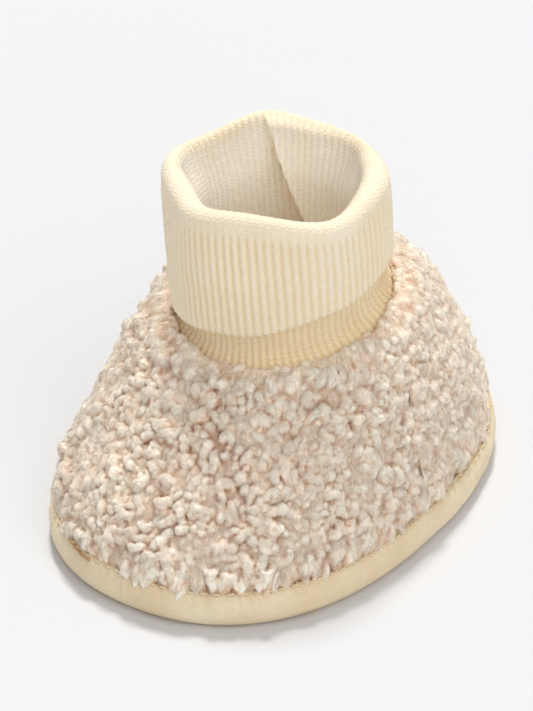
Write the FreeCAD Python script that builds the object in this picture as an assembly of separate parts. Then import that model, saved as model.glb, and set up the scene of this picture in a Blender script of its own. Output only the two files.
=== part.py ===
import FreeCAD, Part
import math
import os

# Baby bootie: pile fleece upper, turned-down rib-knit cuff, padded cotton sole.
# Millimetres. +Z up, toe towards -Y, heel towards +Y, origin at the bottom centre of the sole.
# Section angles start at the toe; offsets are positive outwards.

# ---------------------------------------------------------------- driving dimensions
SOLE_LENGTH = 108.8              # toe to heel over the edge band
TOE_WIDTH, HEEL_WIDTH = 80.0, 71.2   # outline width law at its two ends
OUTLINE_END_EXP = 0.85           # squareness of toe and heel
OUTLINE_SIDE_EXP = 0.90          # squareness of the sides

OUTSOLE_TOP = 1.3
BAND_Z0, BAND_Z1 = 1.5, 8.2
BAND_T = 1.5
WADDING_Z0, WADDING_Z1 = 1.7, 5.9
INSOLE_Z0, INSOLE_Z1 = 6.2, 7.2

FLEECE_Z0 = 8.5                  # lower edge of the fleece
FLEECE_T = 6.0                   # backing plus pile at the foot
FLEECE_COLLAR_T = 3.2            # backing plus cropped pile at the collar
FLEECE_BULGE = 0.35              # pile proud of the sole outline
FLEECE_EDGE_TUCK = 1.2           # lower edge drawn in from the fleece's outside
LINING_Z0 = 7.8                  # lower edge of the lining
LINING_T = 1.0
LINING_DROP = 3.3                # lining ends this far below the collar line
LAYER_GAP = 0.35                 # air between fabric layers

BLEND_EXP = 1.5                  # how late the upper narrows from sole to collar
HEEL_FULL = 0.15                 # added to that exponent at the heel
HEEL_FULL_EXP = 1.5              # how closely the added fullness keeps to the heel
HEEL_IN = 1.8                    # the heel stands this far inside the sole outline
HEEL_IN_SPAN = 0.2               # share of the upper's rise over which it steps in

COLLAR_Y, COLLAR_Z = 1.15, 46.5  # centre of the collar line
COLLAR_TILT = 0.17               # slope of the collar line, rising towards the heel
COLLAR_RX, COLLAR_RY = 26.5, 26.7    # outside of the fleece at the collar

CUFF_LEAN = 0.12                 # ankle tube leans towards the toe
CUFF_RX, CUFF_RY = 21.6, 23.9    # outside of the turned-down flap
CUFF_TOP = 77.0                  # crest of the rolled rim
RIM_R = 2.35                     # rounding of the rim's outer and inner edge
FLAP_T = 2.4                     # flap, two plies of rib
FLAP_CLEAR = 0.4                 # flap to neck
FLAP_EDGE_Z = 50.8               # flap lower edge's plane where it meets the Z axis
FLAP_EDGE_GX, FLAP_EDGE_GY = 0.20, 0.10   # slopes of that plane, rising to +X and the heel
NECK_T = 2.3                     # standing neck, two plies of rib
NECK_UPRIGHT_Z = 58.0            # middle section of the neck, level
NECK_TOP = 71.5
NECK_TOP_OUTER_PLY = 74.3
OUTER_PLY_T = 1.0                # outer ply where it stands above the neck
NECK_OFF = -(FLAP_T + FLAP_CLEAR)    # neck's outer face from the flap's outside
NECK_INNER = NECK_OFF - NECK_T       # neck's inner face from the flap's outside

SEAM_Y = 3.0                     # side seams of the upper, just behind the middle
SEAM_GAP = 0.9

SECTION_POINTS = 32
THREAD_POINTS = 48
BIG = 240.0                      # side of the trimming cubes, larger than the bootie


# ---------------------------------------------------------------- curves and solids
def signed_power(value, exponent):
    return math.copysign(abs(value) ** exponent, value)


def ring_angles(count=SECTION_POINTS):
    return [2 * math.pi * (i + 0.5) / count for i in range(count)]


def curve_through(points, closed=True):
    curve = Part.BSplineCurve()
    curve.interpolate([FreeCAD.Vector(*point) for point in points], PeriodicFlag=closed)
    return curve


def closed_wire(points):
    return Part.Wire(curve_through(points).toShape())


def outward(shape):
    """Turn an inside-out solid the right way."""
    if shape.Volume < 0:
        shape.reverse()
    return shape


def loft(wires, ruled=False):
    return outward(Part.makeLoft(wires, True, ruled))


def solids_of(shape):
    """The solids without boolean slivers, as a compound unless there is just one."""
    found = [solid for solid in shape.Solids if solid.Volume > 0.5]
    return found[0] if len(found) == 1 else Part.makeCompound(found)


def big_cube(y, z):
    """Trimming cube centred on X, with its least y and z given."""
    return Part.makeBox(BIG, BIG, BIG, FreeCAD.Vector(-BIG / 2, y, z))


def thread(points, radius, closed=True):
    curve = curve_through(points, closed)
    start = curve.FirstParameter
    circle = Part.makeCircle(radius, curve.value(start), curve.tangent(start)[0])
    return Part.Wire(curve.toShape()).makePipeShell([Part.Wire(circle)], True, False)


# ---------------------------------------------------------------- sole
# Columns: z, offset from the sole outline
OUTSOLE_STATIONS = [(0.0, -2.2), (0.4, -1.8), (OUTSOLE_TOP, -1.6)]
BAND_OUTSIDE = [
    (BAND_Z0, -1.6), (1.9, -1.0), (2.6, -0.45), (3.4, -0.12), (4.4, 0.0),
    (5.6, -0.05), (6.6, -0.25), (7.5, -0.7), (BAND_Z1, -1.4),
]
# The same columns, before the band's wall is taken off; runs past both edges
BAND_INSIDE = [
    (BAND_Z0 - 1.0, -1.9), (BAND_Z0, -1.9), (2.6, -0.7), (4.0, -0.1),
    (6.0, -0.2), (7.4, -0.8), (BAND_Z1, -1.6), (BAND_Z1 + 1.0, -1.6),
]
WADDING_STATIONS = [(WADDING_Z0, -4.6), (2.6, -3.2), (4.4, -3.0), (WADDING_Z1, -3.8)]
INSOLE_STATIONS = [(INSOLE_Z0, -4.0), (INSOLE_Z1, -4.2)]


def outline_xy(angle, offset):
    """Point of the sole outline."""
    along = math.cos(angle)
    toe_share = (along + 1) / 2
    half_width = (HEEL_WIDTH * (1 - toe_share) + TOE_WIDTH * toe_share) / 2 + offset
    x = half_width * signed_power(math.sin(angle), OUTLINE_SIDE_EXP)
    y = -(SOLE_LENGTH / 2 + offset) * signed_power(along, OUTLINE_END_EXP)
    return x, y


def sole_points(z, offset, count=SECTION_POINTS):
    return [(*outline_xy(angle, offset), z) for angle in ring_angles(count)]


def sole_loft(stations, ruled=False, inset=0.0):
    return loft([closed_wire(sole_points(z, offset - inset)) for z, offset in stations], ruled)


def sole_edge_band():
    """Soft side strip between the underside and the upper."""
    outside = sole_loft(BAND_OUTSIDE, ruled=True)
    return solids_of(outside.cut(sole_loft(BAND_INSIDE, ruled=True, inset=BAND_T)))


def sole_thread(z, offset, radius):
    return thread(sole_points(z, offset, THREAD_POINTS), radius)


# ---------------------------------------------------------------- upper
# Shares of the rise from the sole (0) to the collar line (1)
UPPER_STATIONS = [0.0, 0.10, 0.25, 0.42, 0.60, 0.78, 0.90, 1.0]

# Insets from the fleece's outside: at the foot, at the collar
LINING_OUTSIDE = (FLEECE_T + LAYER_GAP, FLEECE_COLLAR_T + LAYER_GAP)
LINING_MIDDLE = tuple(inset + LINING_T * 0.5 for inset in LINING_OUTSIDE)
LINING_INSIDE = tuple(inset + LINING_T for inset in LINING_OUTSIDE)
FLEECE_SEAM_INSETS = (FLEECE_T * 0.82, FLEECE_COLLAR_T * 0.75)


def upper_point(angle, rise, foot_inset, collar_inset):
    """Point of the domed upper; rise is 0 at the sole, 1 at the collar line."""
    heel = (1 - math.cos(angle)) / 2
    step_in = 1 - (1 - min(rise / HEEL_IN_SPAN, 1.0)) ** 2
    foot_x, foot_y = outline_xy(angle, FLEECE_BULGE - foot_inset - HEEL_IN * heel * step_in)
    collar_x = (COLLAR_RX - collar_inset) * math.sin(angle)
    collar_y = COLLAR_Y - (COLLAR_RY - collar_inset) * math.cos(angle)
    blend = rise ** (BLEND_EXP + HEEL_FULL * heel ** HEEL_FULL_EXP)
    x = foot_x * (1 - blend) + collar_x * blend
    y = foot_y * (1 - blend) + collar_y * blend
    z = FLEECE_Z0 + (COLLAR_Z - FLEECE_Z0) * rise + COLLAR_TILT * (y - COLLAR_Y) * rise
    return x, y, z


def upper_section(rise, foot_inset, collar_inset):
    return closed_wire([upper_point(angle, rise, foot_inset, collar_inset)
                        for angle in ring_angles()])


def upper_core(foot_inset, collar_inset, below, above):
    """Dome whose end sections are moved down by below and up by above."""
    low = upper_section(0.0, foot_inset, collar_inset)
    low.translate(FreeCAD.Vector(0, 0, -below))
    sections = [upper_section(rise, foot_inset, collar_inset) for rise in UPPER_STATIONS[1:]]
    top = upper_section(1.0, foot_inset, collar_inset)
    top.translate(FreeCAD.Vector(0, 0, above))
    return loft([low] + sections + [top])


def fleece_layer():
    tucked_edge = upper_section(0.0, FLEECE_EDGE_TUCK, 0.0)
    sections = [upper_section(rise, 0.0, 0.0) for rise in UPPER_STATIONS[1:]]
    core = upper_core(FLEECE_T, FLEECE_COLLAR_T, below=2.0, above=4.0)
    return loft([tucked_edge] + sections).cut(core)


def lining_layer():
    outside = upper_core(*LINING_OUTSIDE, below=2.0, above=4.0)
    inside = upper_core(*LINING_INSIDE, below=3.0, above=6.0)
    lining = outside.cut(inside).cut(big_cube(-BIG / 2, LINING_Z0 - BIG))
    below_collar = big_cube(-BIG / 2, -BIG)
    below_collar.rotate(FreeCAD.Vector(0, 0, 0), FreeCAD.Vector(1, 0, 0),
                        math.degrees(math.atan(COLLAR_TILT)))
    below_collar.translate(FreeCAD.Vector(0, COLLAR_Y, COLLAR_Z - LINING_DROP))
    return lining.common(below_collar)


def toe_part(layer):
    return solids_of(layer.common(big_cube(SEAM_Y - SEAM_GAP / 2 - BIG, -BIG / 2)))


def heel_part(layer):
    return solids_of(layer.common(big_cube(SEAM_Y + SEAM_GAP / 2, -BIG / 2)))


def side_seam_path(insets, rise_start, rise_end):
    """Points up the +X side of the upper, in the plane of the side seams."""
    points = []
    for i in range(9):
        rise = rise_start + (rise_end - rise_start) * i / 8
        # halve the angle range until the point lies at SEAM_Y
        low, high = math.pi * 0.3, math.pi * 0.75
        for _ in range(50):
            middle = (low + high) / 2
            if upper_point(middle, rise, *insets)[1] < SEAM_Y:
                low = middle
            else:
                high = middle
        x, _, z = upper_point((low + high) / 2, rise, *insets)
        points.append((x, SEAM_Y, z))
    return points


def side_seam_threads(insets, rise_start, rise_end, radius):
    """One side seam's thread and its mirror image across the bootie."""
    one = thread(side_seam_path(insets, rise_start, rise_end), radius, closed=False)
    other = outward(one.mirror(FreeCAD.Vector(0, 0, 0), FreeCAD.Vector(1, 0, 0)))
    return Part.makeCompound([one, other])


# ---------------------------------------------------------------- rib cuff
# Foot of the neck. Columns: height from the collar line, offset, extra half-width in X
NECK_FLARE = [
    (-2.7, -1.3, 1.3), (-2.2, -1.5, 1.15), (-1.7, -1.85, 0.85),
    (-1.2, -2.25, 0.5), (-0.7, -2.55, 0.2), (-0.2, NECK_OFF, 0.0),
]
NECK_CORE_FOOT = (-4.2, -1.3, 1.3)   # continues the flare below the neck, same columns

# Tube seam groove, on the neck's inner face at the centre of the heel side
GROOVE_Z0, GROOVE_Z1 = 52.0, 70.0
GROOVE_HALF_WIDTH = 0.8
GROOVE_START = -1.0              # y of the cutter from the neck's inner face
GROOVE_CUTTER_Y = 2.2            # y size of the cutter
TUBE_THREAD_R = 0.3
TUBE_THREAD_IN = 0.5             # thread centre behind the neck's inner face
TUBE_THREAD_END = 1.0            # thread stops short of each groove end

COLLAR_THREAD_RX, COLLAR_THREAD_RY = 21.95, 22.95
COLLAR_THREAD_DROP = 1.4         # below the collar line


def cuff_y(z):
    return COLLAR_Y - CUFF_LEAN * (z - COLLAR_Z)


def cuff_ellipse(z, radius_x, radius_y, tilt, count=SECTION_POINTS):
    """Points of an ellipse about the leaning axis; tilt is the rise towards the heel."""
    points = []
    for angle in ring_angles(count):
        along = -radius_y * math.cos(angle)
        points.append((radius_x * math.sin(angle), cuff_y(z) + along, z + tilt * along))
    return points


def cuff_section(z, offset, tilt=0.0, widen=0.0):
    """Section offset from the flap's outside."""
    return closed_wire(cuff_ellipse(z, CUFF_RX + offset + widen, CUFF_RY + offset, tilt))


def cuff_loft(stations):
    """Ruled loft over (z, offset) stations."""
    return loft([cuff_section(z, offset) for z, offset in stations], True)


def cuff_plug(z0, z1, offset):
    return cuff_loft([(z0, offset), (z1, offset)])


def neck_form(flare, inset, top):
    """Flared where it is sewn in, then straight along the lean."""
    foot = [cuff_section(COLLAR_Z + height, offset - inset, COLLAR_TILT, widen)
            for height, offset, widen in flare]
    upright = [cuff_section(z, NECK_OFF - inset) for z in (NECK_UPRIGHT_Z, top)]
    return loft(foot + upright, True)


def neck_inner_y(z):
    """The neck's inner face at the centre of the heel side."""
    return cuff_y(z) + CUFF_RY + NECK_INNER


def tube_seam_groove():
    y0 = neck_inner_y(GROOVE_Z0) + GROOVE_START
    y1 = y0 + GROOVE_CUTTER_Y
    half = GROOVE_HALF_WIDTH
    corners = [FreeCAD.Vector(x, y, GROOVE_Z0)
               for x, y in ((-half, y0), (half, y0), (half, y1), (-half, y1))]
    height = GROOVE_Z1 - GROOVE_Z0
    face = Part.Face(Part.makePolygon(corners + [corners[0]]))
    return face.extrude(FreeCAD.Vector(0, -CUFF_LEAN * height, height))


def cuff_neck():
    neck = neck_form(NECK_FLARE, 0.0, NECK_TOP).cut(
        neck_form([NECK_CORE_FOOT] + NECK_FLARE, NECK_T, NECK_TOP + 2.0))
    outer_ply = cuff_plug(NECK_TOP - 1.0, NECK_TOP_OUTER_PLY, NECK_OFF).cut(
        cuff_plug(NECK_TOP - 2.0, NECK_TOP_OUTER_PLY + 1, NECK_OFF - OUTER_PLY_T))
    neck = neck.fuse(outer_ply).removeSplitter()
    return solids_of(neck.cut(tube_seam_groove()))


def cuff_turndown():
    """Turned-down flap with its rolled rim, hooked over the neck."""
    rim = []                     # z and inward shift along the rounded edge
    for degrees in (0, 18, 36, 54, 72, 90):
        turn = math.radians(degrees)
        rim.append((CUFF_TOP - RIM_R + RIM_R * math.sin(turn), RIM_R * (1 - math.cos(turn))))
    outside = cuff_loft([(42.0, 0.0)] + [(z, -shift) for z, shift in rim])
    hole = cuff_loft([(40.0, NECK_INNER)] + [(z, NECK_INNER + shift) for z, shift in rim]
                     + [(CUFF_TOP + 1.5, NECK_INNER + RIM_R)])
    # room for the neck, and above it for the neck's taller outer ply
    neck_slot = cuff_plug(39.0, NECK_TOP + 0.4, -FLAP_T)
    ply_slot = cuff_plug(NECK_TOP - 1.0, NECK_TOP_OUTER_PLY + 0.5, -FLAP_T).cut(
        cuff_plug(NECK_TOP - 2.0, NECK_TOP_OUTER_PLY + 2.0, NECK_OFF - OUTER_PLY_T - FLAP_CLEAR))
    flap = outside.cut(hole).cut(neck_slot).cut(ply_slot)
    above_edge = big_cube(-BIG / 2, 0)
    slope = FreeCAD.Rotation(FreeCAD.Vector(0, 0, 1),
                             FreeCAD.Vector(-FLAP_EDGE_GX, -FLAP_EDGE_GY, 1.0))
    above_edge.Placement = FreeCAD.Placement(FreeCAD.Vector(0, 0, FLAP_EDGE_Z), slope)
    return solids_of(flap.common(above_edge))


def collar_seam_thread():
    return thread(cuff_ellipse(COLLAR_Z - COLLAR_THREAD_DROP, COLLAR_THREAD_RX,
                               COLLAR_THREAD_RY, COLLAR_TILT, THREAD_POINTS), 0.25)


def cuff_tube_seam_thread():
    z = GROOVE_Z0 + TUBE_THREAD_END
    height = GROOVE_Z1 - GROOVE_Z0 - 2 * TUBE_THREAD_END
    return Part.makeCylinder(TUBE_THREAD_R, height * math.hypot(1.0, CUFF_LEAN),
                             FreeCAD.Vector(0.0, neck_inner_y(z) + TUBE_THREAD_IN, z),
                             FreeCAD.Vector(0.0, -CUFF_LEAN, 1.0))


# ---------------------------------------------------------------- pieces
fleece = fleece_layer()
lining = lining_layer()

parts = {
    "outsole": sole_loft(OUTSOLE_STATIONS, ruled=True),
    "sole_edge_band": sole_edge_band(),
    "sole_wadding": sole_loft(WADDING_STATIONS),
    "insole": sole_loft(INSOLE_STATIONS),
    "fleece_vamp": toe_part(fleece),
    "fleece_quarter": heel_part(fleece),
    "lining_vamp": toe_part(lining),
    "lining_quarter": heel_part(lining),
    "cuff_neck": cuff_neck(),
    "cuff_turndown": cuff_turndown(),
    # each sole thread lies midway between the two layers it joins
    "outsole_seam_thread": sole_thread((OUTSOLE_TOP + BAND_Z0) / 2, offset=-0.95, radius=0.28),
    "sole_seam_thread": sole_thread((BAND_Z1 + FLEECE_Z0) / 2, offset=-0.40, radius=0.30),
    "insole_seam_thread": sole_thread((INSOLE_Z1 + LINING_Z0) / 2, offset=-6.45, radius=0.2),
    "collar_seam_thread": collar_seam_thread(),
    "fleece_side_seam_threads": side_seam_threads(
        FLEECE_SEAM_INSETS, rise_start=0.04, rise_end=0.94, radius=0.28),
    "lining_side_seam_threads": side_seam_threads(
        LINING_MIDDLE, rise_start=0.03, rise_end=0.86, radius=0.22),
    "cuff_tube_seam_thread": cuff_tube_seam_thread(),
}

os.makedirs("parts", exist_ok=True)
for name, shape in parts.items():
    shape.exportStep("parts/" + name + ".step")
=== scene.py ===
"""A fleece bootie with a turned-down rib cuff on a padded cotton sole, on a studio floor.

Shapes are worked out in millimetres and written to meshes in metres. +Z is up, the toe
points to -Y and the origin is the bottom centre of the sole. Round the sole and the upper,
angle 0 is the toe and pi/2 is +X. Round the cuff, angle 0 is +X and -pi/2 is the toe side.
"""
import itertools
import math
import bpy
import numpy as np
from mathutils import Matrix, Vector
from mathutils.kdtree import KDTree


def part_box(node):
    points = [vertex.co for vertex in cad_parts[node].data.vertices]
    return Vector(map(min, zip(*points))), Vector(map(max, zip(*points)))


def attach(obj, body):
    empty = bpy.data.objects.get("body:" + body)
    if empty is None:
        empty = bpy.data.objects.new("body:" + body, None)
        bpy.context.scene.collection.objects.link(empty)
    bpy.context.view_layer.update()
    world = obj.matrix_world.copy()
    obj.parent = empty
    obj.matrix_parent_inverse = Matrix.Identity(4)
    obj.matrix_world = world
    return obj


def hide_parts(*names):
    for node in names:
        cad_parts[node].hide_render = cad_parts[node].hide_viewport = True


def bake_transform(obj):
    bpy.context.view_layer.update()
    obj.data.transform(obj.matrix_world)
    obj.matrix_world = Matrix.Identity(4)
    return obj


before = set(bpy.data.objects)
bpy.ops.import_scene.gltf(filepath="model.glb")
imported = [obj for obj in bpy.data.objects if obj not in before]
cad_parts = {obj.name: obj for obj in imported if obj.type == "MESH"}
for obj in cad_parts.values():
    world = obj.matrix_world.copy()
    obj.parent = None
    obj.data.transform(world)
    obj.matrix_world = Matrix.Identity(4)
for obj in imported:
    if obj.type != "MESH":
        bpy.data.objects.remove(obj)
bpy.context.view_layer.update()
TAU = 2 * math.pi


def piece_box(node):
    """Low and high corners of a frame piece, in mm."""
    low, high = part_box(node)
    return np.array(low) * 1000.0, np.array(high) * 1000.0


# ---------------------------------------------------------------- driving dimensions
BAND_LOW, BAND_HIGH = piece_box("sole_edge_band")
VAMP_BOTTOM = piece_box("fleece_vamp")[0][2]
INSOLE_TOP = piece_box("insole")[1][2]
CUFF_TOP = piece_box("cuff_turndown")[1][2]

SOLE_LENGTH = BAND_HIGH[1] - BAND_LOW[1]
TOE_WIDTH, HEEL_WIDTH = 80.0, 71.2
END_EXP, SIDE_EXP = 0.85, 0.90          # below 1 squares the outline
FLEECE_Z0 = VAMP_BOTTOM if VAMP_BOTTOM > 8.0 else 8.5
FLEECE_BULGE = 0.35                     # fleece beyond the sole outline
HEEL_FULL, HEEL_IN = 0.15, 1.8          # extra fullness and draw-in at the heel
COLLAR_Y, COLLAR_Z, COLLAR_TILT = 1.15, 46.5, 0.17
COLLAR_RX, COLLAR_RY = 26.5, 26.7
CUFF_LEAN = 0.12                        # drift to -Y per mm of height
CUFF_RX, CUFF_RY = 21.6, 23.9
FLAP_T, FLAP_CLEAR, NECK_T = 2.4, 0.4, 2.3
WALL = FLAP_T + FLAP_CLEAR + NECK_T
SEAM_Y = 3.0                            # side seams of fleece and lining


def signed_power(value, power):
    return np.sign(value) * np.abs(value) ** power


def outline_xy(angle, offset):
    """Sole outline, grown outwards by the offset."""
    y = -(SOLE_LENGTH / 2 + offset) * signed_power(np.cos(angle), END_EXP)
    toe = (np.cos(angle) + 1) / 2
    half_width = (HEEL_WIDTH * (1 - toe) + TOE_WIDTH * toe) / 2 + offset
    return half_width * signed_power(np.sin(angle), SIDE_EXP), y


def upper_point(angle, rise, inset, inset_top):
    """Point of the upper; rise runs from 0 at the sole to 1 at the collar."""
    heel = (1 - np.cos(angle)) / 2
    ramp = 1 - (1 - np.clip(rise / 0.2, 0, 1)) ** 2
    base_x, base_y = outline_xy(angle, FLEECE_BULGE - inset - HEEL_IN * heel * ramp)
    collar_x = (COLLAR_RX - inset_top) * np.sin(angle)
    collar_y = COLLAR_Y - (COLLAR_RY - inset_top) * np.cos(angle)
    power = 1.5 + HEEL_FULL * heel ** 1.5
    share = np.maximum(rise, 0.0) ** power
    x = base_x * (1 - share) + collar_x * share
    y = base_y * (1 - share) + collar_y * share
    z = FLEECE_Z0 + (COLLAR_Z - FLEECE_Z0) * rise + COLLAR_TILT * (y - COLLAR_Y) * rise
    return np.stack([x, y, z], -1)


def seam_angle(rise, inset, inset_top, seam_y=SEAM_Y, angles=np.linspace(0, math.pi, 900)):
    """Angle at which the upper crosses the side seam on +X."""
    y = upper_point(angles, rise, inset, inset_top)[:, 1]
    return angles[np.argmin(np.abs(y - seam_y))]


def half_angles(front, seam, count, lap=0.0):
    """Angles across the toe half or the heel half, from seam to seam."""
    if front:
        return np.linspace(-seam - lap, seam + lap, count)
    return np.linspace(seam - lap, TAU - seam + lap, count)


def cuff_y(z):
    """Y of the cuff's centre line."""
    return COLLAR_Y - CUFF_LEAN * (z - COLLAR_Z)


# ---------------------------------------------------------------- noise and vectors
NOISE_PERM = np.random.default_rng(1234).permutation(4096)
NOISE_GRAD = np.random.default_rng(4321).standard_normal((4096, 3))
NOISE_GRAD /= np.linalg.norm(NOISE_GRAD, axis=1, keepdims=True)


def perlin(points, seed=0):
    points = np.asarray(points, float)
    cell = np.floor(points).astype(np.int64)
    frac = points - cell
    fade = frac * frac * frac * (frac * (frac * 6 - 15) + 10)
    total = 0.0
    for corner in np.ndindex(2, 2, 2):
        key = NOISE_PERM[(cell[..., 0] + corner[0] + seed * 131) & 4095]
        key = NOISE_PERM[(key + cell[..., 1] + corner[1]) & 4095]
        key = NOISE_PERM[(key + cell[..., 2] + corner[2]) & 4095]
        value = (NOISE_GRAD[key] * (frac - np.array(corner))).sum(-1)
        weight = np.where(corner, fade, 1 - fade)
        total = total + value * weight[..., 0] * weight[..., 1] * weight[..., 2]
    return total * 1.6


def fbm(points, octaves, seed, gain=0.5):
    """Octaves of noise, each twice as fine and gain times as strong as the last."""
    points = np.asarray(points, float)
    total, strength = 0.0, 1.0
    for octave in range(octaves):
        total = total + strength * perlin(points * 2 ** octave, seed + octave)
        strength *= gain
    return total


def plan_noise(x, y, size, octaves, seed, level=0.0):
    """Noise over the plan, with features of about the given size."""
    return fbm(np.stack([x / size, y / size, 0 * x + level], -1), octaves, seed)


def ring_noise(angle, around, level, seed):
    """Noise round a tube."""
    return perlin(np.stack([np.cos(angle) * around, np.sin(angle) * around, level], -1), seed)


def smooth(value, low, high):
    value = np.clip((value - low) / (high - low), 0, 1)
    return value * value * (3 - 2 * value)


def wrap(angle):
    """The same angle between -pi and pi."""
    return (angle + math.pi) % TAU - math.pi


def unit(vectors):
    return vectors / np.maximum(np.linalg.norm(vectors, axis=-1, keepdims=True), 1e-12)


def tangential(vectors, normals):
    """The vectors without their part along the normals."""
    return vectors - (vectors * normals).sum(-1, keepdims=True) * normals


def periodic_curve(degrees, values, cut):
    """Smooth periodic function of an angle in radians; cut is the wave number it damps."""
    count = 720
    angles = np.radians(np.array(degrees, float))
    grid = np.linspace(-math.pi, math.pi, count, endpoint=False)
    wave = np.interp(grid, np.r_[angles[-1] - TAU, angles, angles[0] + TAU],
                     np.r_[values[-1], values, values[0]])
    spectrum = np.fft.rfft(wave)
    spectrum *= np.exp(-(np.arange(len(spectrum)) / cut) ** 2)
    wave = np.fft.irfft(spectrum, count)

    def curve(angle):
        place = (np.asarray(angle) + math.pi) / TAU * count
        index = np.floor(place).astype(int)
        share = place - index
        return wave[index % count] * (1 - share) + wave[(index + 1) % count] * share
    return curve


# ---------------------------------------------------------------- meshes
def build(name, points, quads, tris=None, attributes=None, uv=None):
    """Smooth mesh object from points in mm; attributes and uv are per vertex."""
    vertices = np.asarray(points, float).reshape(-1, 3) * 0.001
    faces = [np.asarray(group, np.int32) for group in (quads, tris) if group is not None]
    loops = np.concatenate([group.ravel() for group in faces])
    totals = np.concatenate([np.full(len(group), group.shape[1]) for group in faces])
    mesh = bpy.data.meshes.new(name)
    mesh.vertices.add(len(vertices))
    mesh.vertices.foreach_set("co", vertices.astype(np.float32).ravel())
    mesh.loops.add(len(loops))
    mesh.loops.foreach_set("vertex_index", loops)
    mesh.polygons.add(len(totals))
    mesh.polygons.foreach_set("loop_start", (np.cumsum(totals) - totals).astype(np.int32))
    mesh.polygons.foreach_set("loop_total", totals.astype(np.int32))
    mesh.polygons.foreach_set("use_smooth", np.full(len(totals), True))
    mesh.update(calc_edges=True)
    if uv is not None:
        layer = mesh.uv_layers.new(name="fabric")
        layer.data.foreach_set("uv", np.asarray(uv, np.float32).reshape(-1, 2)[loops].ravel())
    for key, values in (attributes or {}).items():
        attribute = mesh.attributes.new(key, "FLOAT", "POINT")
        attribute.data.foreach_set("value", np.asarray(values, np.float32).ravel())
    mesh.validate()
    ob = bpy.data.objects.new(name, mesh)
    bpy.context.scene.collection.objects.link(ob)
    return ob


def grid_quads(rows, cols, close=True, flip=False):
    """Faces of a grid; close joins the last column to the first."""
    row, col = np.meshgrid(np.arange(rows - 1), np.arange(cols if close else cols - 1),
                           indexing="ij")
    after = (col + 1) % cols
    corners = [row * cols + col, row * cols + after,
               (row + 1) * cols + after, (row + 1) * cols + col]
    quads = np.stack(corners, -1).reshape(-1, 4)
    return quads[:, ::-1] if flip else quads


def fan(first, count, tip):
    """Triangles from a ring of vertices to a tip vertex."""
    ring = first + np.arange(count)
    return np.stack([ring, np.roll(ring, -1), np.full(count, tip)], -1)


def grid_object(name, points, uv, close=True, flip=False, attributes=None, caps=()):
    """Mesh from points[row, column]; caps lists the rows, 0 or -1, closed with a fan."""
    rows, cols = points.shape[:2]
    vertices, tris = points.reshape(-1, 3), None
    if caps:
        fans = [fan(cap % rows * cols, cols, rows * cols + i) for i, cap in enumerate(caps)]
        tris = np.concatenate([tri[:, ::-1] if (cap == 0) != flip else tri
                               for cap, tri in zip(caps, fans)])
        vertices = np.concatenate([vertices, [points[cap].mean(0) for cap in caps]])
        uv = np.concatenate([uv.reshape(-1, 2), [uv[cap].mean(0) for cap in caps]])
    return build(name, vertices, grid_quads(rows, cols, close, flip), tris, attributes, uv)


def tube_rings(centres, radii, sides, across, over):
    """Points [tube, ring, side] round many centre lines."""
    angles = (TAU * np.arange(sides) / sides)[:, None]
    circle = np.cos(angles) * across[:, :, None, :] + np.sin(angles) * over[:, :, None, :]
    return centres[:, :, None, :] + radii[:, :, None, None] * circle


def repeat_faces(faces, count, step):
    """The faces of one part for count parts of step vertices each."""
    return ((np.arange(count) * step)[:, None, None] + faces).reshape(-1, faces.shape[1])


def tubes(name, paths, radius):
    """Six-sided tubes along paths[tube, point], with slightly raised ends."""
    count, length, _ = paths.shape
    sides = 6
    ahead = unit(np.gradient(paths, axis=1))
    across = unit(np.cross(ahead, np.array([0.31, 0.22, 0.92])))   # off every thread's line
    radii = np.broadcast_to(np.asarray(radius, float), (count, length))
    rings = tube_rings(paths, radii, sides, across, np.cross(ahead, across))
    ends = np.stack([paths[:, 0] - ahead[:, 0] * radii[:, :1] * 0.5,
                     paths[:, -1] + ahead[:, -1] * radii[:, -1:] * 0.5], 1)
    vertices = np.concatenate([rings.reshape(count, -1, 3), ends], 1)
    tip, step = length * sides, length * sides + 2
    tris = np.concatenate([fan(0, sides, tip)[:, [1, 0, 2]],
                           fan(tip - sides, sides, tip + 1)])
    return build(name, vertices, repeat_faces(grid_quads(length, sides), count, step),
                 repeat_faces(tris, count, step))


def hairs(name, centres, radii, across, tube_values, along):
    """Three-sided tubes that are open at the root and pointed at the tip.

    centres[tube, ring + 1] ends in the tip; tube_values holds attributes with one number
    per tube, and along[ring + 1] or [tube, ring + 1] becomes the attribute u.
    """
    count, length = radii.shape
    sides = 3
    ahead = unit(np.gradient(centres, axis=1))[:, :length]
    across = unit(tangential(across, ahead))
    rings = tube_rings(centres[:, :length], radii, sides, across, np.cross(ahead, across))
    vertices = np.concatenate([rings.reshape(count, -1, 3), centres[:, length:]], 1)
    tip, step = length * sides, length * sides + 1
    along = np.broadcast_to(along, (count, length + 1))
    attributes = {"u": np.concatenate([np.repeat(along[:, :length], sides, axis=1),
                                       along[:, length:]], 1)}
    for key, values in tube_values.items():
        attributes[key] = np.repeat(values, step)
    return build(name, vertices, repeat_faces(grid_quads(length, sides), count, step),
                 repeat_faces(fan(tip - sides, sides, tip), count, step), attributes)


def thicken(ob, thickness, offset):
    solid = ob.modifiers.new("thickness", "SOLIDIFY")
    solid.thickness = thickness
    solid.offset = offset


def finish(ob, material, node=None, body="bootie", bend=None):
    """Give a piece its material, hang it under its body's empty and hide its CAD node if it has
    one; bend is a z range on the cuff's centre line, and a piece given one is only baked in place
    and left unparented.
    """
    ob.data.materials.append(material)
    if bend is None:
        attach(ob, body)
    if node:
        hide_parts(node)
    if bend:
        start, end = ((0, cuff_y(z) / 1000, z / 1000) for z in bend)
        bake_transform(ob)
        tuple(start)
        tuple(end)


# ---------------------------------------------------------------- materials
def srgb(*channels):
    """Linear colour from 0-255 sRGB values."""
    def linear(value):
        return value / 12.92 if value <= 0.04045 else ((value + 0.055) / 1.055) ** 2.4
    return tuple(linear(channel / 255.0) for channel in channels) + (1.0,)


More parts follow.
